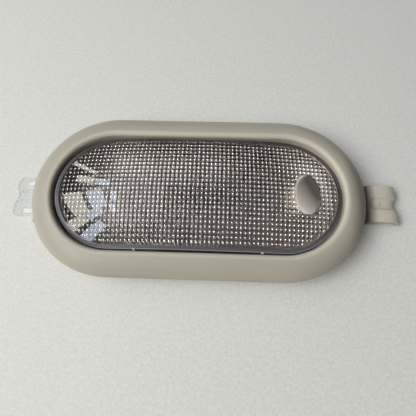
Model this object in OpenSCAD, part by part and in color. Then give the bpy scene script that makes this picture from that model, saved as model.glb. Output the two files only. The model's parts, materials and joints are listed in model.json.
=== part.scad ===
// Car interior dome light with a push-lens switch.
// It lies on its flat back at z = 0. +X runs to the end that is pressed, +Z out through the lens.
// The origin is the middle of the flat back, below the middle of the stadium outline.

/* [Bezel] */
// Length of the straight sides, between the centres of the two round ends
straight_l = 90; // [74:1:120]
// Radius of the opening that the lens fills
lip_r = 32.2; // [29:0.2:36]
// Width of the bezel's band, from the opening to its outer edge
band_w = 12.8; // [11.4:0.2:16]
// Height of the rim plane, where the bezel meets the headliner, above the flat back
rim_z = 14; // [13:0.5:16]
// Height of the bezel's front above the rim plane
bezel_h = 8; // [7:0.5:11]
// Wall of the bezel moulding
bezel_wall = 2.2; // [1.6:0.1:2.6]
// Height of the upright edge at the rim
rim_edge = 0.8; // [0.4:0.1:1.4]
// Rounding where the flank meets the upright edge
rim_round = 4.6; // [3.5:0.1:5.2]
// Rounding of the lip round the lens
lip_round = 2; // [1.2:0.1:2.4]
// Flat width of the bezel's crown
crown_flat = 0.5; // [0.2:0.1:2]

/* [Lens] */
// Rise of the lens above the bezel's front
lens_rise = 4.6; // [3:0.2:6]
// Radius of the lens crown across the lamp
crown_across = 82; // [70:1:100]
// Radius of the lens crown along the lamp
crown_along = 400; // [350:5:600]
// Thickness of the lens over its crown
lens_t = 1.8; // [1.4:0.1:2.4]
// Thickness of the lens skirt
skirt_t = 1.6; // [1.2:0.1:2]
// Gap between the lens skirt and the bezel
lens_gap = 0.7; // [0.5:0.1:1]
// Radius of the rounded shoulder between crown and skirt
shoulder_r = 2.5; // [1.5:0.1:3]
// Height of the skirt's lower edge above the rim plane
skirt_up = 0.5; // [0.2:0.1:1]
// Distance of the finger dimple's middle from the end of the lens
dimple_in = 19.5; // [17:0.5:26]
// Size of the dimple along the lamp
dimple_along = 15; // [12:0.5:16]
// Size of the dimple across the lamp
dimple_across = 22; // [16:0.5:24]
// Depth of the dimple
dimple_d = 1.4; // [1.1:0.1:1.8]
// Distance of each guide rib on the skirt from the end of the straight side
guide_in = 10; // [6:1:20]
// Height of the guide ribs off the skirt
guide_h = 0.35; // [0.2:0.05:0.4]
// Width of the guide ribs
guide_w = 1.2; // [0.8:0.1:2]
// Length of the guide ribs up the skirt
guide_l = 3; // [2:0.2:4]

/* [Prisms] */
// Pitch of the prisms along the lamp
prism_along = 2.25; // [2:0.05:3]
// Pitch of the prisms across the lamp
prism_across = 2.35; // [2:0.05:3]
// Height of each prism
prism_h = 0.7; // [0.3:0.05:0.9]
// Thickness of the optic sheet between its upper side and the prisms
sheet_t = 0.8; // [0.6:0.1:1.2]
// Gap between the optic sheet and the crown that it seats under
sheet_gap = 0.1; // [0.08:0.01:0.2]
// Width of the clear border between the skirt and the optic sheet
sheet_border = 1.4; // [0.6:0.1:3]
// Gap round the press post where it passes through the optic sheet
post_gap = 0.5; // [0.3:0.1:1]

/* [Lens hinge and catches] */
// Distance of the hinge axis from the fixed end of the lens
hinge_in = 6; // [5:0.5:9]
// Height of the hinge axis above the rim plane
hinge_up = 2; // [1.8:0.1:2.4]
// Radius of the hinge pins
pin_r = 1.2; // [1:0.1:1.3]
// Radial clearance of the hinge pins in the bezel
pin_clear = 0.06; // [0.03:0.01:0.1]
// Distance of each catch from the lamp's long axis
catch_y = 10; // [8:0.5:14]
// Width of each catch
catch_w = 5; // [4:0.5:7]
// Height of each catch
catch_h = 1.3; // [1:0.1:1.6]
// Height of the catches' upper face above the hinge axis
catch_up = 0.4; // [0.2:0.1:0.8]
// Reach of each catch past the skirt
catch_reach = 1.7; // [1.2:0.1:2]
// Drop of the lens end when it is pressed
press_drop = 2; // [1.6:0.1:2.2]
// Gap that keeps moving faces apart
run_gap = 0.3; // [0.25:0.05:0.4]

/* [Base tray] */
// Gap between the bezel's return wall and the tray's wall
tray_gap = 1.3; // [1:0.1:2]
// Wall of the tray
tray_wall = 2; // [1.6:0.1:2.2]
// Floor of the tray
tray_floor = 2; // [1.5:0.1:2.2]
// Height of the tray's wall above the rim plane
tray_up = 1.5; // [1:0.1:2]
// Number of ledge ribs in each bay between the snap prongs
ledge_ribs = 2; // [1:1:4]
// Thickness of the ledge ribs
ledge_t = 1.4; // [1:0.1:2]
// Distance of the ledge ribs outside the trough
ledge_step = 3.5; // [2.5:0.5:4]

/* [Hook tab] */
// Reach of the hook tab past the bezel's end
hook_out = 15.8; // [12:0.2:22]
// Width of the hook tab
hook_w = 22.8; // [20:0.2:26]
// Rounding of the hook tab's corners
hook_corner = 2.6; // [1.5:0.1:4]
// Width of the hook tab at its root
hook_root_w = 30; // [27:0.5:34]
// Reach of the wide root past the bezel's end
hook_root_out = 3.6; // [2:0.2:6]
// Thickness of the hook tab
hook_t = 2.4; // [2:0.1:3]
// Height of the hook tab's underside above the flat back
hook_z = 3; // [2.5:0.1:4]
// Width of the waist between the two lobes at the end
waist_w = 9; // [6:0.5:11]
// Depth of the waist
waist_d = 1.7; // [1:0.1:2.5]
// Length of each window in the hook tab
window_l = 6.6; // [5:0.2:8]
// Width of each window in the hook tab
window_w = 3.2; // [2:0.1:3.8]
// Distance of the windows from the tab's end
window_in = 4.8; // [3.5:0.1:6]
// Distance of each window's middle from the lamp's long axis
window_y = 8.3; // [7.6:0.1:8.6]
// Thickness of the stiffening ribs on the hook tab
rib_t = 1; // [0.8:0.1:1.4]
// Height of the stiffening ribs
rib_h = 0.9; // [0.6:0.1:1.2]
// Distance of each stiffening rib from the lamp's long axis
rib_y = 2.6; // [1.5:0.1:4]
// Thickness of the gussets between tray and hook tab
gusset_t = 1.6; // [1.2:0.1:2]
// Length of the gussets along the hook tab
gusset_l = 11; // [8:0.5:13]
// Height of the gussets
gusset_h = 6.6; // [4:0.2:7.4]
// Distance of each gusset from the lamp's long axis
gusset_y = 12; // [9:0.5:13]

/* [Latch tab] */
// Reach of the latch tab past the bezel's end
latch_out = 22.6; // [20:0.2:28]
// Width of the latch tab
latch_w = 20.9; // [16:0.1:22]
// Thickness of the latch tab
latch_t = 2; // [1.6:0.1:2.4]
// Gap between the latch's leg and the tray
leg_gap = 1.5; // [0.6:0.1:1.6]
// Height of the latch's foot above the flat back
foot_z = 1; // [0.4:0.1:2]
// Length of the latch's foot
foot_l = 8; // [5:0.5:9]
// Distance of the arch's crest past the bezel's end
arch_out = 14; // [12:0.5:17]
// Height of the arch's crest above the flat back
arch_z = 8; // [7:0.1:9]
// Radius of the arch's outer face
arch_r = 8; // [6:0.1:9]
// Angle that the arch turns through before its crest
arch_rise = 42; // [36:1:50]
// Angle that the arch turns through after its crest
arch_fall = 58; // [50:1:66]
// Height of the latch's free edge above the flat back
free_z = 1.6; // [1:0.1:3]
// Width of the thumb flute
flute_w = 6.6; // [5:0.1:8]
// Radius of the thumb flute
flute_r = 5.4; // [4.5:0.1:8]
// Distance of the flute's round end past the bezel's end
flute_out = 8.2; // [7.6:0.2:10]

/* [Snap joints] */
// Distance of the outer prongs from the ends of the straight sides
prong_in = 5; // [4:0.5:9]
// Width of each prong
prong_w = 8; // [6:0.5:9]
// Thickness of each prong
prong_t = 1.5; // [1.2:0.1:1.8]
// Height of the prong's tip above the flat back
prong_z = 6.5; // [5.5:0.1:7.5]
// Height of the barb on each prong
barb_h = 2.2; // [1.6:0.1:2.6]
// Reach of the barb into the tray's wall
barb_reach = 1.2; // [0.8:0.1:1.4]
// Height of the barb's blunt edge
barb_edge = 0.6; // [0.3:0.1:0.8]
// Clearance between seated pieces
seat_gap = 0.2; // [0.15:0.05:0.3]

/* [Reflector] */
// Height of the reflector's rim below the rim plane
reflector_down = 3; // [2.8:0.1:3.4]
// Thickness of the reflector
reflector_t = 0.8; // [0.6:0.1:1]
// Width of the reflector's flange
flange_w = 7; // [5:0.5:8.5]
// Depth of the reflector's trough
trough_d = 6.6; // [6:0.1:6.8]
// Half-width of the trough's flat bottom
trough_flat = 11; // [9:0.5:13]
// Gap round what passes through the reflector
pass_gap = 0.6; // [0.4:0.1:1]

/* [Bulb] */
// Distance of the bulb's middle from the middle of the lamp
bulb_x = 3; // [0:0.5:6]
// Height of the bulb's axis above the flat back
bulb_z = 10.6; // [10.4:0.1:11.5]
// Length of the bulb over its tips
bulb_l = 41; // [38:0.5:42]
// Radius of the glass
glass_r = 5.2; // [4.5:0.1:5.5]
// Wall of the glass
glass_t = 0.6; // [0.5:0.1:0.8]
// Length of the glass's coned shoulders
glass_cone = 2.4; // [1.6:0.1:3]
// Length of the glass's necks inside the caps
neck_l = 1.6; // [1:0.1:3]
// Clearance of the necks in the caps
neck_gap = 0.1; // [0.05:0.01:0.15]
// Radius of the end caps
cap_r = 4; // [3.5:0.1:4.2]
// Wall of the end caps
cap_t = 0.4; // [0.3:0.05:0.6]
// Length of the end caps' straight part
cap_l = 6; // [5:0.1:7]
// Thickness of the end caps' closed end
cap_end = 1; // [0.6:0.1:1.4]
// Length of the end caps' cone
cone_l = 2.2; // [1.8:0.1:2.6]
// Radius of the caps' tips
tip_r = 1; // [0.8:0.1:1.4]
// Radius of the filament's coil
filament_r = 0.5; // [0.4:0.05:0.7]
// Radius of the filament's wire
filament_wire = 0.12; // [0.1:0.01:0.16]
// Length of the filament's coil
filament_l = 12; // [8:0.5:16]
// Turns of the filament's coil
filament_turns = 14; // [8:1:18]
// Radius of the filament's lead wires
lead_r = 0.25; // [0.2:0.01:0.3]

/* [Clips and strips] */
// Thickness of the spring leaves
leaf_t = 0.5; // [0.4:0.05:0.6]
// Width of the spring leaves
leaf_w = 8; // [6:0.5:9]
// Radius of the hole that takes the cap's cone
leaf_hole = 1.9; // [1.6:0.1:2.2]
// Axial clearance of the caps' cones in the leaves
cone_gap = 0.05; // [0.03:0.01:0.1]
// Length of each leaf's foot
leaf_foot = 7; // [6:0.5:8]
// Height of the leaves above the bulb's axis
leaf_rise = 3.2; // [2.6:0.1:4]
// Length of the flared lip on each leaf
leaf_lip = 2; // [1:0.1:3]
// Outward tilt of the flared lip
lip_tilt = 35; // [20:1:50]
// Thickness of the brass strips
strip_t = 0.6; // [0.5:0.05:0.7]
// Width of the brass strips
strip_w = 3.6; // [3:0.1:4]
// Radius of the rivet shanks
rivet_r = 1.1; // [0.9:0.1:1.3]
// Radius of the rivet heads
rivet_head_r = 1.9; // [1.6:0.1:2.4]
// Height of the rivet heads
rivet_head_h = 0.4; // [0.3:0.05:0.6]
// Distance of the earth strip's run from the lamp's long axis
earth_lane = 12; // [11.5:0.5:13]
// Distance between the runs of the earth strip and the door strip
lane_step = 6; // [5.5:0.5:7]

/* [Connector] */
// Distance of the connector's middle from the end of the straight side
connector_in = 21; // [20:0.5:22]
// Outer width of the connector shroud
shroud_w = 19; // [18:0.5:20]
// Outer height of the connector shroud
shroud_h = 9; // [8.5:0.1:9]
// Wall of the connector shroud
shroud_wall = 1.2; // [1:0.1:1.4]
// Distance of the connector's mouth inside the bezel's edge
mouth_in = 2; // [1:0.5:3]
// Depth of the connector's cavity
cavity_d = 10; // [9:0.5:11]
// Width of the key slot in the shroud
key_w = 5; // [4:0.5:6]
// Width of each blade
blade_w = 2.8; // [2.2:0.1:3]
// Thickness of each blade
blade_t = 0.8; // [0.6:0.1:0.8]
// Spacing of the blades
blade_pitch = 5; // [4.6:0.1:5.2]
// Distance of the blade tips from the mouth
blade_inset = 2.5; // [2:0.5:4]
// Length of the blades behind the shroud
blade_root = 1; // [0.6:0.1:1.6]

/* [Switch] */
// Length of the switch case along the lamp
switch_l = 15; // [14:0.5:16]
// Width of the switch case
switch_w = 15; // [14:0.5:16]
// Height of the switch case
switch_h = 9; // [8.5:0.1:9.4]
// Wall of the switch case
switch_wall = 1.2; // [1:0.1:1.4]
// Thickness of the switch cover and of the collar round its hole
cover_t = 1.2; // [1:0.1:1.4]
// Radius of the plunger's stem
stem_r = 3; // [2.6:0.1:3.4]
// Radius of the plunger's collar
collar_r = 4.6; // [4.2:0.1:5]
// Thickness of the plunger's collar
collar_t = 1; // [0.8:0.1:1.2]
// Height of the plunger's top above the rim plane
plunger_up = 3; // [2.6:0.1:3.2]
// Radius of the spring over its coils
spring_r = 2; // [1.7:0.1:2.2]
// Radius of the spring's wire
spring_wire = 0.2; // [0.15:0.01:0.25]
// Turns of the spring
spring_turns = 6; // [5:1:8]
// Depth of the spring's socket above the contact bridge
spring_socket = 1.6; // [1:0.1:2.4]
// Thickness of the contact bridge
bridge_t = 0.5; // [0.4:0.05:0.6]
// Length of the contact bridge
bridge_l = 11; // [10:0.2:11.4]
// Width of the contact bridge
bridge_w = 8; // [7.4:0.2:9]
// Length of the fixed contact posts
post_l = 1.6; // [1.2:0.1:2]
// Width of the fixed contact posts
post_w = 2.8; // [2.2:0.1:3]

/* [Hidden] */

beige = [0.69, 0.66, 0.58];
clear = [0.82, 0.84, 0.84, 0.45];
silver = [0.78, 0.78, 0.8];
brass = [0.78, 0.62, 0.32];
steel = [0.62, 0.62, 0.64];
black = [0.12, 0.12, 0.13];
glass = [0.85, 0.88, 0.9, 0.4];
ivory = [0.86, 0.84, 0.78];

// Facets of round shapes and of the wide crown arcs
fine = 96;
wide = 720;
// Overlap that joins solids of one piece, reach of a cutter past the piece it cuts, and a height
// above the whole lamp
bite = 0.01;
spare = 3;
tall = 60;

half_straight = straight_l / 2;
rim_r = lip_r + band_w;
rim_end = half_straight + rim_r;
lip_z = rim_z + bezel_h;
apex_z = lip_z + lens_rise;
lens_r = lip_r - lens_gap;
lens_end = half_straight + lens_r;
skirt_in = lens_r - skirt_t;
skirt_z = rim_z + skirt_up;
tray_in = lip_r + bezel_wall + tray_gap;
tray_r = tray_in + tray_wall;
reflector_z = rim_z - reflector_down;
return_z = reflector_z + run_gap;

// Flank arcs of the bezel: a rim arc tangent to the upright edge and a crown arc tangent to both
crown_cx = lip_r + lip_round + crown_flat;
flank_h = bezel_h - rim_edge;
flank_w = rim_r - crown_cx;
crown_arc = (pow(flank_w - rim_round, 2) + pow(flank_h, 2) - pow(rim_round, 2))
  / (2 * (flank_h - rim_round));
crown_c = [crown_cx, lip_z - crown_arc];
rim_c = [rim_r - rim_round, rim_z + rim_edge];
flank_dir = (rim_c - crown_c) / norm(rim_c - crown_c);

// Hinge, catches and dimple of the lens
hinge_x = lens_end - hinge_in;
hinge_z = rim_z + hinge_up;
hinge_off = hinge_x - half_straight;
well_y = sqrt(pow(skirt_in, 2) - pow(hinge_off, 2));
pin_end_y = sqrt(pow(lip_r + bezel_wall, 2) - pow(hinge_off, 2)) - run_gap;
dimple_x = lens_end - dimple_in;
dimple_half_l = dimple_along / 2 + lens_t + spare / 2;
dimple_half_w = dimple_across / 2 + lens_t + spare / 2;
press_angle = asin(press_drop / (hinge_x + dimple_x));
catch_drop = (hinge_x + lens_end + catch_reach) * sin(press_angle);
catch_top = hinge_z + catch_up;

// Ring whose lowest face is the dimple
dimple_arc = (pow(dimple_along / 2, 2) + pow(dimple_d, 2)) / (2 * dimple_d);
dimple_deep = dimple_d - crown_across + sqrt(pow(crown_across, 2) - pow(dimple_across / 2, 2));
dimple_ring = (pow(dimple_across / 2, 2) + pow(dimple_deep, 2)) / (2 * dimple_deep);
dimple_tilt = asin(dimple_x / crown_along);
dimple_face = apex_z - crown_along + sqrt(pow(crown_along, 2) - pow(dimple_x, 2));

// Switch stack
plunger_top = rim_z + plunger_up;
post_low = plunger_top + run_gap;
switch_top = tray_floor + switch_h;
collar_top = switch_top - run_gap;
bridge_top = collar_top - collar_t;
stem_bottom = tray_floor + switch_wall + press_drop + run_gap;
spring_seat = tray_floor + switch_wall;
spring_bore = spring_r + run_gap;
spring_top = bridge_top - bridge_t + spring_socket;
post_y = (bridge_w - post_w) / 2;
post_in_x = dimple_x - (bridge_l - post_l) / 2;
post_out_x = dimple_x + (bridge_l - post_l) / 2;

// Connector, strips and bulb
connector_x = half_straight - connector_in;
mouth_y = rim_r - mouth_in;
blade_y = mouth_y - cavity_d;
blade_z = tray_floor + shroud_h / 2;
connector_back = blade_y - shroud_wall * 2;
riser_y = connector_back - blade_root - strip_t / 2;
strip_z = tray_floor + strip_t;
cap_start = bulb_l / 2 - cone_l - cap_l;

// Trough of the reflector
trough_r = tray_in - flange_w;
dish_z = reflector_z - trough_d;
dish_r = (pow(trough_r - trough_flat, 2) + pow(trough_d, 2)) / (2 * trough_d);

// Arch of the latch tab, and its leg's distance from the middle of the round end
leg_r = tray_r + leg_gap;
arch_c = [rim_end + arch_out, arch_z - arch_r];
flute_depth = flute_r - sqrt(pow(flute_r, 2) - pow(flute_w / 2, 2));

// Height of the bezel's underside at a given distance from the spine
function under_z(r) =
  let (crown_in = crown_arc - bezel_wall, rim_in = rim_round - bezel_wall)
  r < crown_cx ? lip_z - bezel_wall
  : r < crown_cx + flank_dir[0] * crown_in ? crown_c[1] + sqrt(pow(crown_in, 2) - pow(r - crown_cx, 2))
  : rim_c[1] + sqrt(max(0, pow(rim_in, 2) - pow(r - rim_c[0], 2)));

// Distance of each leaf's middle plane from the bulb's middle: its hole sits on the cap's cone
function leaf_x() = bulb_l / 2 - cone_l + cone_l * (cap_r - leaf_hole) / (cap_r - tip_r)
  + leaf_t / 2 + cone_gap;
function foot_x(s) = bulb_x + s * (leaf_x() + leaf_foot / 2);
function blade_x(i) = -connector_x + i * blade_pitch;
function prong_places() = [for (i = [-1:1], s = [-1, 1]) [i * (half_straight - prong_in), s]];

module stadium_2d(r) {
  square([straight_l, 2 * r], center = true);
  for (s = [-1, 1]) {
    translate([s * half_straight, 0])
      circle(r, $fn = fine);
  }
}

module stadium(r, h) {
  linear_extrude(h)
    stadium_2d(r);
}

// Sweeps a section, drawn as distance from the spine and height, round the stadium
module stadium_sweep() {
  for (s = [-1, 1]) {
    translate([s * half_straight, 0, 0])
      rotate([0, 0, -90 * s])
        rotate_extrude(angle = 180, $fn = fine)
          children();
  }
  for (s = [0, 1]) {
    mirror([0, s, 0])
      translate([-half_straight, 0, 0])
        rotate([90, 0, 90])
          linear_extrude(straight_l)
            children();
  }
}

// Slice of a disc between two directions, for an arc in an outline
module slice_2d(centre, r, from, to) {
  reach = 2 * r;
  translate(centre)
    intersection() {
      circle(r, $fn = 4 * fine);
      polygon([[0, 0], reach * from, reach * (from + to), reach * to]);
    }
}

// Filled section of the bezel's front, drawn in by a given depth
module bezel_section(inset) {
  front_arc = crown_arc - inset;
  joint = crown_c + flank_dir * front_arc;
  intersection() {
    union() {
      slice_2d(crown_c, front_arc, [0, 1], flank_dir);
      slice_2d(rim_c, rim_round - inset, flank_dir, [1, 0]);
    }
    translate([lip_r, rim_z])
      square([rim_r, tall]);
  }
  polygon([
    [lip_r, rim_z], [lip_r, lip_z - lip_round], [lip_r + lip_round, lip_z - inset],
    [crown_cx, lip_z - inset], joint, [rim_r - inset, rim_c[1]], [rim_r - inset, rim_z]
  ]);
}

module bezel_ring() {
  stadium_sweep() {
    difference() {
      union() {
        bezel_section(0);
        slice_2d([lip_r + lip_round, lip_z - lip_round], lip_round, [0, 1], [-1, 0]);
        translate([lip_r, return_z])
          square([bezel_wall, rim_z - return_z + bezel_wall / 2]);
      }
      translate([lip_r + bezel_wall, 0])
        square([band_w - 2 * bezel_wall, rim_c[1]]);
      translate([0, -bite])
        intersection() {
          bezel_section(bezel_wall);
          translate([lip_r + bezel_wall, 0])
            square([rim_r, tall]);
        }
    }
  }
}

// Snap prong with its barb, on the +Y side
module prong() {
  prong_y = tray_r + seat_gap;
  translate([-prong_w / 2, prong_y, prong_z])
    cube([prong_w, prong_t, under_z(prong_y + prong_t) + bezel_wall / 2 - prong_z]);
  translate([-prong_w / 2, prong_y - barb_reach, prong_z])
    rotate([90, 0, 90])
      linear_extrude(prong_w)
        polygon([
          [0, barb_h], [barb_reach + bite, barb_h], [barb_reach + bite, 0], [barb_reach, 0],
          [0, barb_h - barb_edge]
        ]);
}

// Straight bar with round ends between two points
module bar_2d(a, b, w) {
  d = b - a;
  translate(a)
    rotate(atan2(d[1], d[0]))
      translate([0, -w / 2])
        square([norm(d), w]);
  for (p = [a, b]) {
    translate(p)
      circle(w / 2, $fn = 32);
  }
}

// Side outline of the latch tab: leg, foot and arch, along X and up Z
module latch_2d() {
  leg_x = half_straight + leg_r;
  mid_r = arch_r - latch_t / 2;
  rise = [-sin(arch_rise), cos(arch_rise)];
  fall = [sin(arch_fall), cos(arch_fall)];
  foot_end = [leg_x + foot_l, foot_z + latch_t / 2];
  translate([leg_x, foot_z])
    square([latch_t, under_z(leg_r + latch_t) + bezel_wall / 2 - foot_z]);
  difference() {
    slice_2d(arch_c, arch_r, rise, fall);
    translate(arch_c)
      circle(arch_r - latch_t, $fn = fine);
  }
  bar_2d([leg_x + latch_t / 2, foot_end[1]], foot_end, latch_t);
  bar_2d(foot_end, arch_c + mid_r * rise, latch_t);
  bar_2d(arch_c + mid_r * fall, [rim_end + latch_out - latch_t / 2, free_z + latch_t / 2], latch_t);
}

// Thumb flute: a round groove that follows the arch to the free edge
module flute() {
  ring_r = arch_r + flute_r - flute_depth;
  start = asin((arch_out - flute_out - flute_w / 2) / arch_r);
  translate([arch_c[0], 0, arch_c[1]])
    rotate([90, 0, 0]) {
      rotate([0, 0, 90 - arch_fall])
        rotate_extrude(angle = arch_fall + start, $fn = fine)
          translate([ring_r, 0])
            circle(flute_r, $fn = fine);
      rotate([0, 0, 90 + start])
        translate([ring_r, 0, 0])
          sphere(flute_r, $fn = fine);
      rotate([0, 0, 90 - arch_fall])
        translate([ring_r, bite, 0])
          rotate([90, 0, 0])
            cylinder(r = flute_r, h = arch_r, $fn = fine);
    }
}

module latch_tab() {
  difference() {
    translate([0, latch_w / 2, 0])
      rotate([90, 0, 0])
        linear_extrude(latch_w)
          latch_2d();
    flute();
  }
}

module bezel() {
  color(beige) {
    difference() {
      bezel_ring();
      hinge_bars(pin_r + pin_clear, pin_end_y + spare);
      catch_windows();
    }
    for (p = prong_places()) {
      mirror([0, p[1] < 0 ? 1 : 0, 0])
        translate([p[0], 0, 0])
          prong();
    }
    latch_tab();
  }
}

// Round bars on the hinge axis, from the skirt's inner face to a given distance from the long axis
module hinge_bars(r, reach) {
  for (s = [-1, 1]) {
    translate([-hinge_x, s * well_y, hinge_z])
      rotate([-90 * s, 0, 0])
        cylinder(r = r, h = reach - well_y, $fn = fine);
  }
}

module catch_windows() {
  slack = run_gap * 2;
  low = catch_top - catch_h - catch_drop - slack;
  for (s = [-1, 1]) {
    translate([half_straight, s * catch_y - catch_w / 2 - slack, low])
      cube([lip_r + bezel_wall + spare, catch_w + 2 * slack, catch_top + run_gap - low]);
  }
}

// Crown solid: part of a ring about an axis across the lamp, whose outer face is the lens's face
module crown_solid(inset) {
  reach = asin((lens_end + 2 * spare) / crown_along);
  translate([0, 0, apex_z - crown_along])
    rotate([90, 0, 0])
      rotate([0, 0, 90 - reach])
        rotate_extrude(angle = 2 * reach, $fn = wide)
          intersection() {
            translate([crown_along - crown_across, 0])
              circle(crown_across - inset, $fn = wide);
            translate([crown_along - apex_z, -lens_r - spare])
              square([2 * apex_z, 2 * (lens_r + spare)]);
          }
}

// Part of a ring whose lowest face is the dimple, or the dimple's underside when it is made larger
module dimple_solid(grow) {
  reach = asin(dimple_half_w / dimple_ring);
  translate([dimple_x, 0, dimple_face])
    rotate([0, dimple_tilt, 0])
      translate([0, 0, dimple_ring - dimple_d])
        rotate([0, 90, 0])
          rotate([0, 0, -reach])
            rotate_extrude(angle = 2 * reach, $fn = wide)
              intersection() {
                translate([dimple_ring - dimple_arc, 0])
                  circle(dimple_arc + grow, $fn = wide / 2);
                translate([dimple_ring - 2 * dimple_d - spare, -dimple_half_l])
                  square([tall, 2 * dimple_half_l]);
              }
}

// What the rounded shoulder takes off the edge of the lens
module shoulder_section() {
  edge_z = apex_z - crown_across + sqrt(pow(crown_across, 2) - pow(lens_r - shoulder_r, 2));
  difference() {
    translate([lens_r - shoulder_r, edge_z - shoulder_r])
      square([shoulder_r + spare, tall]);
    translate([lens_r - shoulder_r, edge_z - shoulder_r])
      circle(shoulder_r, $fn = fine);
  }
}

module lens() {
  color(clear)
    difference() {
      union() {
        difference() {
          intersection() {
            translate([0, 0, skirt_z])
              stadium(lens_r, tall);
            crown_solid(0);
          }
          stadium_sweep()
            shoulder_section();
          difference() {
            intersection() {
              stadium(skirt_in, tall);
              crown_solid(lens_t);
            }
            intersection() {
              dimple_solid(lens_t);
              translate([dimple_x - dimple_half_l - bite, -dimple_half_w - bite, post_low])
                cube([2 * (dimple_half_l + bite), 2 * (dimple_half_w + bite), tall]);
            }
            translate([dimple_x, 0, post_low])
              cylinder(r = stem_r, h = tall, $fn = fine);
          }
        }
        hinge_bars(pin_r, pin_end_y);
        catches();
        guide_ribs();
      }
      dimple_solid(0);
    }
}

module catches() {
  for (s = [-1, 1]) {
    intersection() {
      translate([half_straight, s * catch_y - catch_w / 2, catch_top - catch_h])
        cube([tall, catch_w, catch_h]);
      difference() {
        stadium(lens_r + catch_reach, tall);
        stadium(lens_r - skirt_t / 2, tall);
      }
    }
  }
}

module guide_ribs() {
  guide_x = half_straight - guide_in;
  for (x = [-guide_x, guide_x], s = [0, 1]) {
    mirror([0, s, 0])
      translate([x - guide_w / 2, lens_r - skirt_t / 2, skirt_z])
        cube([guide_w, skirt_t / 2 + guide_h, guide_l]);
  }
}

// Height of the crown's underside
function crown_under(x, y) = apex_z - crown_along
  + sqrt(pow(crown_along - crown_across + sqrt(pow(crown_across - lens_t, 2) - y * y), 2) - x * x);

// Height of the dimple's underside, its tilt allowed for in a few passes
function dimple_under(x, y, z, passes) =
  let (
    along = (x - dimple_x) * cos(dimple_tilt) - (z - dimple_face) * sin(dimple_tilt),
    bow = pow(dimple_arc + lens_t, 2) - along * along,
    ring = bow < 0 ? 0 : pow(dimple_ring - dimple_arc + sqrt(bow), 2) - y * y,
    up = dimple_ring - dimple_d - sqrt(max(0, ring)),
    height = dimple_face + (up - (x - dimple_x) * sin(dimple_tilt)) / cos(dimple_tilt)
  )
  abs(along) > dimple_half_l || abs(y) > dimple_half_w ? apex_z
  : passes == 0 ? height : dimple_under(x, y, height, passes - 1);

function sheet_top(x, y) = min(crown_under(x, y), dimple_under(x, y, apex_z, 3)) - sheet_gap;

// Distance of a point from the spine, and the same point moved to a given distance
function off_spine(p) = norm([max(0, abs(p[0]) - half_straight), p[1]]);
function onto_outline(p, r) =
  let (foot = [max(-half_straight, min(half_straight, p[0])), 0])
  foot + (p - foot) * r / norm(p - foot);

// Optic sheet: one grid of pyramids on its underside, its border drawn onto the stadium outline
module lens_prisms() {
  sheet_r = skirt_in - sheet_border;
  hole_r = stem_r + post_gap;
  pitch = [prism_along, prism_across];
  post = [dimple_x, 0];
  cols = 2 * ceil((half_straight + sheet_r) / prism_along);
  rows = 2 * ceil(sheet_r / prism_across);
  middle = [cols, rows] / 2;
  function at(i, j) = j * (cols + 1) + i;
  function place(i, j) = [(i - middle[0]) * pitch[0], (j - middle[1]) * pitch[1]];
  function centre(i, j) = place(i + 0.5, j + 0.5);
  filled = [
    for (j = [-1:rows], i = [-1:cols])
      off_spine(centre(i, j)) < sheet_r && norm(centre(i, j) - post) > hole_r ? 1 : 0
  ];
  function full(i, j) = filled[(j + 1) * (cols + 2) + i + 1] == 1;
  function border(i, j) = !full(i, j) || !full(i - 1, j) || !full(i, j - 1) || !full(i - 1, j - 1);
  corners = [
    for (j = [0:rows], i = [0:cols]) let (p = place(i, j))
      !border(i, j) ? p
      : norm(p - post) < hole_r + norm(pitch) ? post + (p - post) * hole_r / max(bite, norm(p - post))
      : onto_outline(p, sheet_r)
  ];
  tops = [for (p = corners) sheet_top(p[0], p[1])];
  cells = [for (j = [0:rows - 1], i = [0:cols - 1]) if (full(i, j)) [i, j]];
  count = len(corners);
  tips = [
    for (c = cells)
      let (p = (corners[at(c[0], c[1])] + corners[at(c[0] + 1, c[1])]
        + corners[at(c[0], c[1] + 1)] + corners[at(c[0] + 1, c[1] + 1)]) / 4)
        [p[0], p[1], sheet_top(p[0], p[1]) - sheet_t - prism_h]
  ];
  points = concat(
    [for (n = [0:count - 1]) [corners[n][0], corners[n][1], tops[n] - sheet_t]],
    [for (n = [0:count - 1]) [corners[n][0], corners[n][1], tops[n]]],
    tips
  );
  faces = [
    for (n = [0:len(cells) - 1])
      let (
        i = cells[n][0], j = cells[n][1], tip = 2 * count + n,
        a = at(i, j), b = at(i + 1, j), c = at(i + 1, j + 1), d = at(i, j + 1)
      )
        each concat(
          [[a, b, tip], [b, c, tip], [c, d, tip], [d, a, tip]],
          [[count + a, count + c, count + b], [count + a, count + d, count + c]],
          full(i, j - 1) ? [] : [[a, count + a, count + b], [a, count + b, b]],
          full(i + 1, j) ? [] : [[b, count + b, count + c], [b, count + c, c]],
          full(i, j + 1) ? [] : [[c, count + c, count + d], [c, count + d, d]],
          full(i - 1, j) ? [] : [[d, count + d, count + a], [d, count + a, a]]
        )
  ];
  color(clear)
    polyhedron(points, faces, convexity = 8);
}

module base() {
  color(clear) {
    difference() {
      union() {
        stadium(tray_r, rim_z + tray_up);
        hook_tab();
      }
      translate([0, 0, tray_floor])
        stadium(tray_in, tall);
      for (p = prong_places()) {
        mirror([0, p[1] < 0 ? 1 : 0, 0])
          translate([p[0] - prong_w / 2 - seat_gap, tray_in - spare, prong_z - seat_gap])
            cube([prong_w + 2 * seat_gap, tray_wall + 2 * spare, barb_h + 2 * seat_gap]);
      }
      translate([-connector_x - shroud_w / 2 - seat_gap, tray_in - spare, tray_floor - bite])
        cube([shroud_w + 2 * seat_gap, tray_wall + 2 * spare, shroud_h + seat_gap + bite]);
    }
    ledges();
  }
}

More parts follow.
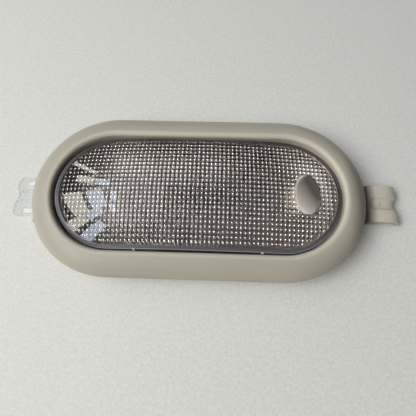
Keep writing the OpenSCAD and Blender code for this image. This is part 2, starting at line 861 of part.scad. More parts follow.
// Ribs inside the wall that carry the reflector's flange, spread over the bays between the prongs
module ledges() {
  ledge_h = reflector_z - reflector_t - tray_floor;
  bay = (half_straight - prong_in) / (ledge_ribs + 1);
  intersection() {
    difference() {
      stadium(tray_in + bite, tall);
      stadium(trough_r + ledge_step, tall);
    }
    union() {
      for (i = [1:ledge_ribs], e = [-1, 1], s = [-1, 1]) {
        x = e * i * bay;
        if (s < 0 || abs(x + connector_x) > shroud_w / 2 + ledge_t) {
          translate([x - ledge_t / 2, s > 0 ? 0 : -tall, tray_floor - bite])
            cube([ledge_t, tall, ledge_h + bite]);
        }
      }
      for (s = [-1, 1]) {
        translate([s > 0 ? half_straight : -half_straight - tall, -ledge_t / 2, tray_floor - bite])
          cube([tall, ledge_t, ledge_h + bite]);
      }
    }
  }
}

module hook_tab_2d() {
  hook_end = rim_end + hook_out;
  root_x = rim_end + hook_root_out;
  inner_x = half_straight + tray_r / 2;
  flare = (hook_root_w - hook_w) / 2;
  notch_r = (pow(waist_w / 2, 2) + pow(waist_d, 2)) / (2 * waist_d);
  difference() {
    union() {
      translate([-hook_end + hook_corner, -hook_w / 2])
        square([hook_end - hook_corner - inner_x, hook_w]);
      translate([-hook_end, -hook_w / 2 + hook_corner])
        square([hook_corner + bite, hook_w - 2 * hook_corner]);
      for (s = [-1, 1]) {
        translate([-hook_end + hook_corner, s * (hook_w / 2 - hook_corner)])
          circle(hook_corner, $fn = fine);
      }
      translate([-root_x, -hook_root_w / 2])
        square([root_x - inner_x, hook_root_w]);
      for (s = [-1, 1]) {
        difference() {
          translate([-root_x - flare, s > 0 ? hook_w / 2 - bite : -hook_root_w / 2])
            square([flare + bite, flare + bite]);
          translate([-root_x - flare, s * hook_root_w / 2])
            circle(flare, $fn = fine);
        }
      }
    }
    translate([-hook_end - notch_r + waist_d, 0])
      circle(notch_r, $fn = fine);
    for (s = [-1, 1]) {
      translate([-hook_end + window_in, s * window_y - window_w / 2])
        square([window_l, window_w]);
    }
  }
}

module hook_tab() {
  rib_x = rim_end + hook_out - waist_d - hook_t;
  inner_x = half_straight + tray_in;
  translate([0, 0, hook_z])
    linear_extrude(hook_t)
      hook_tab_2d();
  for (s = [-1, 1]) {
    translate([-rib_x, s * rib_y - rib_t / 2, hook_z + hook_t - bite])
      cube([rib_x - inner_x, rib_t, rib_h + bite]);
    translate([-inner_x, s * gusset_y, hook_z + hook_t - bite])
      rotate([90, 0, 0])
        translate([0, 0, -gusset_t / 2])
          linear_extrude(gusset_t)
            polygon([[-gusset_l, 0], [tray_wall / 2, 0], [tray_wall / 2, gusset_h], [-gusset_t, gusset_h]]);
  }
}

// Filled section of the trough, made larger for its outer side
module dish_section(grow, top) {
  intersection() {
    union() {
      translate([0, dish_z - grow])
        square([trough_flat, tall]);
      translate([trough_flat, dish_z + dish_r])
        circle(dish_r + grow, $fn = 2 * fine);
    }
    translate([0, dish_z - grow])
      square([tall, top - dish_z + grow]);
  }
}

module reflector() {
  color(silver)
    difference() {
      union() {
        translate([0, 0, reflector_z - reflector_t])
          stadium(tray_in - seat_gap, reflector_t);
        stadium_sweep()
          dish_section(reflector_t, reflector_z);
      }
      stadium_sweep()
        dish_section(0, reflector_z + spare);
      for (s = [-1, 1]) {
        translate([bulb_x + s * leaf_x(), 0, 0])
          cube([4 * leaf_lip * sin(lip_tilt), leaf_w + 2 * pass_gap, 2 * tall], center = true);
      }
      translate([dimple_x - switch_l / 2 - pass_gap, -switch_w / 2 - pass_gap, 0])
        cube([switch_l + 2 * pass_gap, switch_w + 2 * pass_gap, tall]);
      translate([-connector_x - shroud_w / 2 - pass_gap, connector_back - pass_gap, 0])
        cube([shroud_w + 2 * pass_gap, tall, tall]);
    }
}

module bulb_glass() {
  neck = cap_r - cap_t - neck_gap;
  color(glass)
    translate([bulb_x, 0, bulb_z])
      rotate([0, 90, 0])
        difference() {
          glass_envelope(glass_r, neck);
          glass_envelope(glass_r - glass_t, neck - glass_t);
        }
}

// Tube with coned shoulders and necks, along Z
module glass_envelope(r, neck) {
  cylinder(r = r, h = 2 * (cap_start - glass_cone), center = true, $fn = fine);
  for (s = [0, 1]) {
    mirror([0, 0, s]) {
      translate([0, 0, cap_start - glass_cone])
        cylinder(r1 = r, r2 = neck, h = glass_cone, $fn = fine);
      translate([0, 0, cap_start - bite])
        cylinder(r = neck, h = neck_l + bite, $fn = fine);
    }
  }
}

// End cap, a cup with a coned tip, along +Z from the middle of the bulb
module cap() {
  difference() {
    union() {
      translate([0, 0, cap_start])
        cylinder(r = cap_r, h = cap_l, $fn = fine);
      translate([0, 0, cap_start + cap_l])
        cylinder(r1 = cap_r, r2 = tip_r, h = cone_l, $fn = fine);
    }
    translate([0, 0, cap_start - cap_end])
      cylinder(r = cap_r - cap_t, h = cap_l, $fn = fine);
  }
}

module bulb_cap_left() {
  color(steel)
    translate([bulb_x, 0, bulb_z])
      rotate([0, -90, 0])
        cap();
}

module bulb_cap_right() {
  color(steel)
    translate([bulb_x, 0, bulb_z])
      rotate([0, 90, 0])
        cap();
}

// Points of a helix with a round wire, as rings for a swept tube
function helix_rings(r, wire, length, turns, steps, sides) = [
  for (i = [0:turns * steps]) let (a = 360 * i / steps, z = length * i / (turns * steps))
    for (k = [0:sides - 1]) let (b = 360 * k / sides)
      [(r + wire * cos(b)) * cos(a), (r + wire * cos(b)) * sin(a), z + wire * sin(b)]
];

module helix(r, wire, length, turns, steps, sides) {
  rings = turns * steps;
  points = helix_rings(r, wire, length, turns, steps, sides);
  skin = [
    for (i = [0:rings - 1], k = [0:sides - 1]) let (n = (k + 1) % sides)
      [i * sides + k, i * sides + n, (i + 1) * sides + n, (i + 1) * sides + k]
  ];
  first = [for (k = [0:sides - 1]) sides - 1 - k];
  last = [for (k = [0:sides - 1]) rings * sides + k];
  polyhedron(points, concat(skin, [first], [last]), convexity = 10);
}

module bulb_filament() {
  lead = bulb_l / 2 - cone_l - cap_end - filament_l / 2;
  color(steel)
    translate([bulb_x, 0, bulb_z])
      rotate([0, 90, 0]) {
        translate([0, 0, -filament_l / 2])
          helix(filament_r, filament_wire, filament_l, filament_turns, 10, 6);
        for (s = [-1, 1]) {
          translate([filament_r, 0, s * filament_l / 2 + (s > 0 ? 0 : -lead)])
            cylinder(r = lead_r, h = lead, $fn = 16);
        }
      }
}

// Spring leaf on its foot, with a flared lip, for the +X end of the bulb
module clip() {
  x = bulb_x + leaf_x() - leaf_t / 2;
  top = bulb_z + leaf_rise;
  out = [sin(lip_tilt), cos(lip_tilt)];
  lip_outer = [x + leaf_t, top] + leaf_lip * out;
  difference() {
    translate([0, leaf_w / 2, 0])
      rotate([90, 0, 0])
        linear_extrude(leaf_w)
          polygon([
            [x, strip_z], [x + leaf_foot, strip_z], [x + leaf_foot, strip_z + leaf_t],
            [x + leaf_t, strip_z + leaf_t], [x + leaf_t, top], lip_outer,
            lip_outer + leaf_t * [-out[1], out[0]], [x, top + leaf_t * tan(lip_tilt / 2)]
          ]);
    translate([x - spare, 0, bulb_z])
      rotate([0, 90, 0])
        cylinder(r = leaf_hole, h = leaf_t + 2 * spare, $fn = fine);
    translate([foot_x(1), 0, strip_z - bite])
      cylinder(r = rivet_r, h = leaf_t + 2 * bite, $fn = fine);
  }
}

module clip_left() {
  color(steel)
    translate([2 * bulb_x, 0, 0])
      mirror([1, 0, 0])
        clip();
}

module clip_right() {
  color(steel)
    clip();
}

module clip_rivets() {
  color(brass)
    for (s = [-1, 1]) {
      translate([foot_x(s), 0, tray_floor])
        cylinder(r = rivet_r, h = strip_t + leaf_t + rivet_head_h, $fn = fine);
      translate([foot_x(s), 0, strip_z + leaf_t])
        cylinder(r = rivet_head_r, h = rivet_head_h, $fn = fine);
    }
}

// Flat strip on the tray's floor through points joined square to the axes
module strip(points) {
  translate([0, 0, tray_floor])
    linear_extrude(strip_t)
      for (i = [0:len(points) - 2]) {
        a = points[i];
        b = points[i + 1];
        low = [min(a[0], b[0]), min(a[1], b[1])] - [strip_w, strip_w] / 2;
        translate(low)
          square([abs(a[0] - b[0]) + strip_w, abs(a[1] - b[1]) + strip_w]);
      }
}

// Connector blade with the riser that joins it to its strip
module blade(x) {
  root_y = connector_back - blade_root;
  translate([x - blade_w / 2, root_y, blade_z - blade_t / 2])
    cube([blade_w, mouth_y - blade_inset - root_y, blade_t]);
  translate([x - blade_w / 2, root_y - strip_t, tray_floor])
    cube([blade_w, strip_t + bite, blade_z + blade_t / 2 - tray_floor]);
}

module rivet_hole(s) {
  translate([foot_x(s), 0, 0])
    cylinder(r = rivet_r, h = strip_z + spare, $fn = fine);
}

module feed_strip() {
  color(brass)
    difference() {
      union() {
        blade(blade_x(-1));
        strip([[blade_x(-1), riser_y - strip_w / 2], [blade_x(-1), 0], [foot_x(-1), 0]]);
      }
      rivet_hole(-1);
    }
}

// Fixed contact that stands up inside the switch, with its strip on the floor
module contact_post(x, y) {
  translate([x - post_l / 2, y - post_w / 2, tray_floor])
    cube([post_l, post_w, bridge_top - bridge_t - press_drop - run_gap - tray_floor]);
}

module switched_strip() {
  color(brass)
    difference() {
      union() {
        strip([[foot_x(1), 0], [post_in_x, 0]]);
        contact_post(post_in_x, 0);
      }
      rivet_hole(1);
    }
}

module ground_strip() {
  color(brass) {
    blade(blade_x(0));
    strip([
      [blade_x(0), riser_y - strip_w / 2], [blade_x(0), earth_lane], [post_out_x, earth_lane],
      [post_out_x, post_y]
    ]);
    contact_post(post_out_x, post_y);
  }
}

module door_strip() {
  door_lane = earth_lane + lane_step;
  color(brass) {
    blade(blade_x(1));
    strip([
      [blade_x(1), riser_y - strip_w / 2], [blade_x(1), door_lane],
      [post_out_x + lane_step, door_lane], [post_out_x + lane_step, -earth_lane],
      [post_out_x, -earth_lane], [post_out_x, -post_y]
    ]);
    contact_post(post_out_x, -post_y);
  }
}

module connector() {
  color(black)
    difference() {
      translate([-connector_x - shroud_w / 2, connector_back, tray_floor])
        cube([shroud_w, mouth_y - connector_back, shroud_h]);
      translate([-connector_x - shroud_w / 2 + shroud_wall, blade_y, tray_floor + shroud_wall])
        cube([shroud_w - 2 * shroud_wall, tall, shroud_h - 2 * shroud_wall]);
      for (i = [-1:1]) {
        translate([blade_x(i) - blade_w / 2, connector_back - spare, blade_z - blade_t / 2])
          cube([blade_w, tall, blade_t]);
      }
      translate([-connector_x - key_w / 2, blade_y + shroud_wall, tray_floor + shroud_h / 2])
        cube([key_w, tall, shroud_h]);
    }
}

module switch_case() {
  inner_l = switch_l - 2 * switch_wall;
  inner_w = switch_w - 2 * switch_wall;
  color(black)
    difference() {
      translate([dimple_x - switch_l / 2, -switch_w / 2, tray_floor])
        cube([switch_l, switch_w, switch_h]);
      translate([dimple_x - inner_l / 2, -inner_w / 2, tray_floor + switch_wall])
        cube([inner_l, inner_w, tall]);
      strip_slots();
    }
}

// Passages for the strips and their posts through the switch case
module strip_slots() {
  w = strip_w + 2 * seat_gap;
  slot_h = strip_t + seat_gap + spare;
  translate([post_in_x - tall, -w / 2, tray_floor - spare])
    cube([tall + w / 2, w, slot_h]);
  for (s = [-1, 1]) {
    translate([post_out_x - w / 2, s > 0 ? post_y - w / 2 : -tall, tray_floor - spare])
      cube([w, tall - post_y + w / 2, slot_h]);
  }
  for (p = [[post_in_x, 0], [post_out_x, post_y], [post_out_x, -post_y]]) {
    translate([p[0] - post_l / 2 - seat_gap, p[1] - post_w / 2 - seat_gap, tray_floor - spare])
      cube([post_l + 2 * seat_gap, post_w + 2 * seat_gap, switch_wall + 2 * spare]);
  }
}

module switch_cover() {
  color(ivory)
    difference() {
      union() {
        translate([dimple_x - switch_l / 2, -switch_w / 2, switch_top])
          cube([switch_l, switch_w, cover_t]);
        translate([dimple_x, 0, switch_top])
          cylinder(r = stem_r + run_gap + cover_t, h = 2 * cover_t, $fn = fine);
      }
      translate([dimple_x, 0, 0])
        cylinder(r = stem_r + run_gap, h = tall, $fn = fine);
    }
}

module plunger() {
  color(ivory)
    translate([dimple_x, 0, 0])
      difference() {
        union() {
          translate([0, 0, stem_bottom])
            cylinder(r = stem_r, h = plunger_top - stem_bottom, $fn = fine);
          translate([0, 0, bridge_top])
            cylinder(r = collar_r, h = collar_t, $fn = fine);
        }
        cylinder(r = spring_bore, h = spring_top, $fn = fine);
      }
}

module plunger_spring() {
  color(steel)
    translate([dimple_x, 0, spring_seat + spring_wire])
      helix(spring_r - spring_wire, spring_wire, spring_top - spring_seat - 2 * spring_wire,
        spring_turns, 16, 8);
}

module contact_bridge() {
  color(brass)
    translate([dimple_x, 0, bridge_top - bridge_t])
      difference() {
        translate([-bridge_l / 2, -bridge_w / 2, 0])
          cube([bridge_l, bridge_w, bridge_t]);
        cylinder(r = stem_r, h = tall, center = true, $fn = fine);
      }
}

bezel();
base();
lens();
lens_prisms();
reflector();
bulb_glass();
bulb_cap_left();
bulb_cap_right();
bulb_filament();
clip_left();
clip_right();
clip_rivets();
feed_strip();
switched_strip();
ground_strip();
door_strip();
connector();
switch_case();
switch_cover();
plunger();
plunger_spring();
contact_bridge();
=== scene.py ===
import json
from math import asin, cos, hypot, pi, radians, sin, sqrt

import bmesh
import bpy
from mathutils import Matrix, Vector
from mathutils.geometry import interpolate_bezier


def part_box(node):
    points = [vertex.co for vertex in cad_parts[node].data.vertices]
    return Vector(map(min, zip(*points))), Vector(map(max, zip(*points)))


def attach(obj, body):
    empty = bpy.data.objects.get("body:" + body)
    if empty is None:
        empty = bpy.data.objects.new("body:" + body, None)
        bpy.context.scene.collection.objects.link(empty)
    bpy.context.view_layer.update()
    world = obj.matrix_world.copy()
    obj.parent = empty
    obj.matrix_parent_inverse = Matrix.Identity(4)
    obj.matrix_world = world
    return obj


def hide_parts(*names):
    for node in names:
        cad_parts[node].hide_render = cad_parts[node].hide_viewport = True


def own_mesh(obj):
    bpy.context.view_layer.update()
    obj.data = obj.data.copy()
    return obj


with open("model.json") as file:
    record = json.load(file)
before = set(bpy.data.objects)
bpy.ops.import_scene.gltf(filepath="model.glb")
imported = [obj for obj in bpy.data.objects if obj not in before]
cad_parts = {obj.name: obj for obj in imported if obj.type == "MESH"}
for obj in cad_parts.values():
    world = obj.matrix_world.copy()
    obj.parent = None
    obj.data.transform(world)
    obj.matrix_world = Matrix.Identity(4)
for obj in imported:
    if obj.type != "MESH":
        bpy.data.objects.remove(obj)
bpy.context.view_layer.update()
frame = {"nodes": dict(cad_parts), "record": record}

record = frame["record"]
nodes = frame["nodes"]
mm = 0.001


# Camera, from the outline of the bezel and lens in the photograph
camera = {
    "place": (10.635, -58.66, 184.0),  # mm, above the flat back
    "aim": (5.863, -3.429, 14.0),
    "roll": 0.0348,
    "focalPixels": 329.64,
    "imagePixels": 416,
    "axisRow": 202,  # image row that the lens axis meets
    "sensor": 36.0,
    "nearest": 0.001,
}


def makeCamera(values):
    cam = bpy.data.cameras.new("camera")
    cam.sensor_width = values["sensor"]
    cam.lens = values["sensor"] * values["focalPixels"] / values["imagePixels"]
    cam.shift_y = (values["axisRow"] - values["imagePixels"] / 2) / values["imagePixels"]
    cam.clip_start = values["nearest"]
    cam.dof.use_dof = False
    obj = bpy.data.objects.new("camera", cam)
    bpy.context.scene.collection.objects.link(obj)
    place = Vector(values["place"]) * mm
    forward = (Vector(values["aim"]) * mm - place).normalized()
    right = forward.cross(Vector((0, 1, 0))).normalized()
    up = right.cross(forward)
    c, s = cos(values["roll"]), sin(values["roll"])
    rolledRight = right * c + up * s
    rolledUp = up * c - right * s
    turn = Matrix((rolledRight, rolledUp, -forward)).transposed().to_4x4()
    obj.matrix_world = Matrix.Translation(place) @ turn
    bpy.context.scene.camera = obj
    print("camera placed")


makeCamera(camera)


# Colour from 0 to 255 as the linear colour that the nodes take
def linear(rgb):
    def one(v):
        v = v / 255
        return v / 12.92 if v <= 0.04045 else ((v + 0.055) / 1.055) ** 2.4
    return tuple(one(v) for v in rgb) + (1.0,)


# New node: numbers go to its sockets by name, the rest are its own settings
def addNode(tree, kind, sockets=None, **settings):
    node = tree.nodes.new("ShaderNode" + kind)
    for key, value in settings.items():
        setattr(node, key, value)
    for key, value in (sockets or {}).items():
        node.inputs[key].default_value = value
    return node


def addRamp(tree, value, stops):
    ramp = addNode(tree, "ValToRGB")
    marks = ramp.color_ramp.elements
    for place, tone in stops[1:-1]:
        marks.new(place)
    for mark, (place, tone) in zip(marks, stops):
        mark.position = place
        mark.color = tone
    tree.links.new(value, ramp.inputs["Fac"])
    return ramp.outputs["Color"]


def addSpan(tree, value, start, end, low=0.0, high=1.0):
    ends = {"From Min": start, "From Max": end, "To Min": low, "To Max": high}
    span = addNode(tree, "MapRange", ends)
    tree.links.new(value, span.inputs["Value"])
    return span.outputs["Result"]


# Lays a tone over a colour as far as the mask says
def addBlend(tree, mask, colour, tone):
    blend = addNode(tree, "Mix", data_type="RGBA")
    blend.inputs[7].default_value = linear(tone)
    tree.links.new(mask, blend.inputs["Factor"])
    tree.links.new(colour, blend.inputs[6])
    return blend.outputs[2]


def addParts(tree, vector):
    parts = addNode(tree, "SeparateXYZ")
    tree.links.new(vector, parts.inputs["Vector"])
    return parts.outputs


# Shared effects as node groups, with their inputs, outputs and plain values
def newGroup(name, inputs, outputs):
    group = bpy.data.node_groups.new(name, "ShaderNodeTree")
    for key, value in inputs.items():
        socket = group.interface.new_socket(key, in_out="INPUT", socket_type="NodeSocketFloat")
        socket.default_value = value
    for key in outputs:
        group.interface.new_socket(key, in_out="OUTPUT", socket_type="NodeSocketFloat")
    start = group.nodes.new("NodeGroupInput")
    end = group.nodes.new("NodeGroupOutput")
    return group, start.outputs, end.inputs


grain = {
    "scale": 4000,
    "mottle": 60,
    "fineDetail": 3,
    "slowDetail": 4,
}


# Fine grain as a height, and a slow mottle as a shade
def makeGrainGroup(values):
    inputs = {"Grain": values["scale"], "Mottle": values["mottle"]}
    group, start, end = newGroup("surfaceGrain", inputs, ("Height", "Shade"))
    coord = addNode(group, "TexCoord").outputs["Object"]
    for source, detail, target in (("Grain", values["fineDetail"], "Height"),
                                   ("Mottle", values["slowDetail"], "Shade")):
        noise = addNode(group, "TexNoise", {"Detail": detail})
        group.links.new(coord, noise.inputs["Vector"])
        group.links.new(start[source], noise.inputs["Scale"])
        group.links.new(noise.outputs["Fac"], end[target])
    return group


spine = {
    "halfStraight": 0.045,
    "inner": 0.03,
    "outer": 0.04,
}


# Distance from the middle line of the stadium outline, as a value between two radii
def makeSpineGroup(values):
    inputs = {"Inner": values["inner"], "Outer": values["outer"]}
    group, start, end = newGroup("spineDistance", inputs, ("Share",))
    link = group.links.new

    def step(kind, first, second=None):
        node = addNode(group, "Math", operation=kind)
        link(first, node.inputs[0])
        if isinstance(second, float):
            node.inputs[1].default_value = second
        elif second is not None:
            link(second, node.inputs[1])
        return node.outputs[0]

    parts = addParts(group, addNode(group, "TexCoord").outputs["Object"])
    pastEnd = step("SUBTRACT", step("ABSOLUTE", parts["X"]), values["halfStraight"])
    pastEnd = step("MAXIMUM", pastEnd, 0.0)
    square = step("ADD", step("MULTIPLY", pastEnd, pastEnd),
                  step("MULTIPLY", parts["Y"], parts["Y"]))
    span = addNode(group, "MapRange")
    link(step("SQRT", square), span.inputs["Value"])
    link(start["Inner"], span.inputs["From Min"])
    link(start["Outer"], span.inputs["From Max"])
    link(span.outputs["Result"], end["Share"])
    return group


grainGroup = makeGrainGroup(grain)
spineGroup = makeSpineGroup(spine)


# Finishes: two tones, roughness from and to, scales of grain and mottle, and the grain's strength
finishValues = {
    "beige_plastic": {
        "name": "beigePlastic", "dark": (180, 175, 160), "light": (185, 180, 165),
        "rough": (0.34, 0.42), "grain": 5200, "mottle": 70, "relief": 0.25},
    "lip": {
        "name": "bezelPlastic", "dark": (183, 178, 163), "light": (188, 183, 168),
        "rough": (0.34, 0.42), "grain": 5200, "mottle": 70, "relief": 0.25},
    # painted light: the latch is a lighter copy of the bezel's plastic, standing in for its
    # highlights
    "latch": {
        "name": "latchPlastic", "dark": (212, 207, 191), "light": (218, 213, 197),
        "rough": (0.26, 0.34), "grain": 5200, "mottle": 70, "relief": 0.25},
    "clear_plastic": {
        "name": "trayPlastic", "dark": (190, 195, 195), "light": (208, 212, 211), "clear": True,
        "rough": (0.18, 0.28), "grain": 3000, "mottle": 60, "relief": 0.1,
        "ior": 1.4, "alpha": 0.55},
    "lens_plastic": {
        "name": "lensPlastic", "dark": (232, 226, 226), "light": (240, 236, 234), "clear": True,
        "rough": (0.015, 0.03), "grain": 900, "mottle": 40, "relief": 0.02, "ior": 1.53},
    "prism": {  # partly metallic, as the prisms throw the light back
        "name": "prismFaces", "dark": (231, 228, 224), "light": (239, 237, 233), "clear": True,
        "rough": (0.08, 0.12), "grain": 900, "mottle": 40, "relief": 0.02,
        "ior": 1.53, "metallic": 0.45},
    "guide": {
        "name": "guideNib", "dark": (176, 176, 174), "light": (190, 190, 188),
        "rough": (0.3, 0.4), "grain": 3000, "mottle": 200, "relief": 0.1},
    "bulb_glass": {
        "name": "bulbGlass", "dark": (240, 242, 246), "light": (248, 249, 252), "clear": True,
        "rough": (0.0, 0.02), "grain": 800, "mottle": 90, "relief": 0.02, "ior": 1.5},
    "metallised": {
        "name": "metallised", "dark": (196, 192, 194), "light": (214, 212, 212),
        "rough": (0.24, 0.34), "grain": 2600, "mottle": 45, "relief": 0.12, "metallic": 1.0},
    "cap_metal": {
        "name": "capMetal", "dark": (190, 190, 192), "light": (214, 214, 214),
        "rough": (0.2, 0.32), "grain": 3500, "mottle": 300, "relief": 0.1, "metallic": 1.0},
    "filament": {
        "name": "filament", "dark": (96, 96, 100), "light": (130, 130, 132),
        "rough": (0.35, 0.5), "grain": 6000, "mottle": 900, "relief": 0.1, "metallic": 1.0},
    "leaf_steel": {
        "name": "leafSteel", "dark": (176, 176, 178), "light": (200, 200, 202),
        "rough": (0.24, 0.36), "grain": 4200, "mottle": 220, "relief": 0.12, "metallic": 1.0},
    "spring_steel": {
        "name": "springSteel", "dark": (168, 168, 172), "light": (190, 190, 194),
        "rough": (0.2, 0.3), "grain": 6000, "mottle": 500, "relief": 0.1, "metallic": 1.0},
    "brass": {
        "name": "brass", "dark": (196, 158, 92), "light": (218, 184, 118),
        "rough": (0.24, 0.38), "grain": 4200, "mottle": 200, "relief": 0.12, "metallic": 1.0},
    "black_plastic": {
        "name": "blackPlastic", "dark": (34, 34, 36), "light": (46, 46, 48),
        "rough": (0.36, 0.46), "grain": 5000, "mottle": 120, "relief": 0.25},
    "ivory_plastic": {
        "name": "ivoryPlastic", "dark": (218, 213, 198), "light": (230, 226, 212),
        "rough": (0.34, 0.44), "grain": 5000, "mottle": 120, "relief": 0.2},
}
reliefDepth = {"plain": 0.00002, "clear": 0.00001}
mottleSpan = (0.3, 0.7)  # part of the mottle that runs from one tone to the other
lampTint = (238, 236, 236)


def newMaterial(name):
    mat = bpy.data.materials.new(name)
    mat.use_nodes = True
    tree = mat.node_tree
    tree.nodes.clear()
    out = addNode(tree, "OutputMaterial")
    shader = addNode(tree, "BsdfPrincipled")
    tree.links.new(shader.outputs["BSDF"], out.inputs["Surface"])
    return mat, tree, shader


def addBump(tree, shader, height, strength, depth):
    bump = addNode(tree, "Bump", {"Strength": strength, "Distance": depth})
    tree.links.new(height, bump.inputs["Height"])
    tree.links.new(bump.outputs["Normal"], shader.inputs["Normal"])


# What lies behind clear plastic gets the lamps' light straight through it
def letLampsThrough(tree, shader):
    path = addNode(tree, "LightPath")
    through = addNode(tree, "BsdfTransparent", {"Color": linear(lampTint)})
    mix = addNode(tree, "MixShader")
    out = next(n for n in tree.nodes if n.type == "OUTPUT_MATERIAL")
    tree.links.new(path.outputs["Is Shadow Ray"], mix.inputs["Fac"])
    tree.links.new(shader.outputs["BSDF"], mix.inputs[1])
    tree.links.new(through.outputs["BSDF"], mix.inputs[2])
    tree.links.new(mix.outputs["Shader"], out.inputs["Surface"])


def dress(values):
    mat, tree, shader = newMaterial(values["name"])
    link = tree.links.new
    clear = values.get("clear", False)
    group = addNode(tree, "Group", node_tree=grainGroup)
    group.inputs["Grain"].default_value = values["grain"]
    group.inputs["Mottle"].default_value = values["mottle"]
    shade = group.outputs["Shade"]
    tones = [(place, linear(values[key])) for place, key in zip(mottleSpan, ("dark", "light"))]
    link(addRamp(tree, shade, tones), shader.inputs["Base Color"])
    link(addSpan(tree, shade, *mottleSpan, *values["rough"]), shader.inputs["Roughness"])
    depth = values.get("depth", reliefDepth["clear" if clear else "plain"])
    addBump(tree, shader, group.outputs["Height"], values["relief"], depth)
    shader.inputs["Metallic"].default_value = values.get("metallic", 0.0)
    if clear:
        shader.inputs["Transmission Weight"].default_value = 1.0
        shader.inputs["IOR"].default_value = values["ior"]
        shader.inputs["Alpha"].default_value = values.get("alpha", 1.0)
        letLampsThrough(tree, shader)
    return mat


finishes = {key: dress(values) for key, values in finishValues.items()}


# What the finger pad and the rim share: fine grain, an even roughness and half clear plastic
def finishSatin(tree, shader, values):
    coord = addNode(tree, "TexCoord").outputs["Object"]
    noise = addNode(tree, "TexNoise", {"Scale": values["grain"]})
    tree.links.new(coord, noise.inputs["Vector"])
    addBump(tree, shader, noise.outputs["Fac"], values["relief"], reliefDepth["clear"])
    shader.inputs["Roughness"].default_value = values["rough"]
    shader.inputs["IOR"].default_value = values["ior"]
    shader.inputs["Transmission Weight"].default_value = values["through"]
    letLampsThrough(tree, shader)


# Satin finger pad, in metres: painted light and shade, paler towards one end, with a painted
# highlight as a bright edge on its left
pad = {
    "name": "fingerPad",
    "shadeFrom": (0.0525, -0.005, 0),
    "shadeReach": 0.0105,
    "shadeTurn": 0.5,
    "dark": (108, 98, 94),
    "light": (240, 237, 228),
    "middle": (0.0576, 0, 0),
    "half": (0.0067, 0.0108),
    # colour of the painted highlight
    "edge": (255, 254, 246),
    "highlightBand": (0.16, 0.08),  # way in from the outline at which the painted highlight ends, and is full
    "highlightSide": (0.1, -0.5),  # place along X, in halves, at which the painted highlight ends, and is full
    "rough": 0.26,
    "ior": 1.5,
    "through": 0.4,
    "grain": 2500,
    "relief": 0.1,
}


def makePadFinish(values):
    mat, tree, shader = newMaterial(values["name"])
    link = tree.links.new
    coord = addNode(tree, "TexCoord").outputs["Object"]
    # painted light and shade: a gradient from light to dark across the pad
    reach = values["shadeReach"]
    place = addNode(tree, "Mapping", vector_type="TEXTURE")
    place.inputs["Location"].default_value = values["shadeFrom"]
    place.inputs["Rotation"].default_value = (0, 0, values["shadeTurn"])
    place.inputs["Scale"].default_value = (reach, reach, reach)
    fade = addNode(tree, "TexGradient")
    link(coord, place.inputs["Vector"])
    link(place.outputs["Vector"], fade.inputs["Vector"])
    tones = [(0.0, linear(values["light"])), (1.0, linear(values["dark"]))]
    body = addRamp(tree, fade.outputs["Fac"], tones)
    # painted highlight: a bright band inside the pad's outline, on its left
    inside = addNode(tree, "Mapping", vector_type="TEXTURE")
    inside.inputs["Location"].default_value = values["middle"]
    inside.inputs["Scale"].default_value = (*values["half"], 1)
    flat = addNode(tree, "VectorMath", operation="MULTIPLY")
    flat.inputs[1].default_value = (1, 1, 0)
    ball = addNode(tree, "TexGradient", gradient_type="SPHERICAL")
    link(coord, inside.inputs["Vector"])
    link(inside.outputs["Vector"], flat.inputs[0])
    link(flat.outputs["Vector"], ball.inputs["Vector"])
    along = addParts(tree, flat.outputs["Vector"])["X"]
    both = addNode(tree, "Math", operation="MULTIPLY")
    link(addSpan(tree, ball.outputs["Fac"], *values["highlightBand"]), both.inputs[0])
    link(addSpan(tree, along, *values["highlightSide"]), both.inputs[1])
    link(addBlend(tree, both.outputs["Value"], body, values["edge"]), shader.inputs["Base Color"])
    finishSatin(tree, shader, values)
    return mat


finishes["pad"] = makePadFinish(pad)


# Lens rim, in metres: smoky band, a painted highlight as a pale line where the shoulder turns down,
# and a dark skirt painted as shade in the gap
rim = {
    "name": "lensRim",
    "inner": 0.0285,
    "outer": 0.0315,
    # from inside out: band, painted highlight line, then painted shade on the skirt
    "stops": (
        (0.0, (118, 114, 118)), (0.68, (118, 118, 124)), (0.75, (182, 184, 190)),
        (0.82, (182, 184, 190)), (0.89, (40, 34, 32)), (1.0, (34, 28, 26)),
    ),
    "farShade": (90, 78, 78),  # painted shade: on the far side and at the right the band is plain and darker
    "farLean": 0.35,
    "farSpan": (-0.012, 0.02),
    "rough": 0.25,
    "ior": 1.53,
    "through": 0.45,
    "grain": 1800,
    "relief": 0.08,
}


def addSpineMask(tree, values):
    span = addNode(tree, "Group", node_tree=spineGroup)
    span.inputs["Inner"].default_value = values["inner"]
    span.inputs["Outer"].default_value = values["outer"]
    return span.outputs["Share"]


def makeRimFinish(values):
    mat, tree, shader = newMaterial(values["name"])
    link = tree.links.new
    parts = addParts(tree, addNode(tree, "TexCoord").outputs["Object"])
    lean = addNode(tree, "Math", operation="MULTIPLY_ADD")
    lean.inputs[1].default_value = values["farLean"]
    link(parts["X"], lean.inputs[0])
    link(parts["Y"], lean.inputs[2])
    stops = [(place, linear(rgb)) for place, rgb in values["stops"]]
    bands = addRamp(tree, addSpineMask(tree, values), stops)
    side = addSpan(tree, lean.outputs["Value"], *values["farSpan"])
    link(addBlend(tree, side, bands, values["farShade"]), shader.inputs["Base Color"])
    finishSatin(tree, shader, values)
    return mat


finishes["rim"] = makeRimFinish(rim)


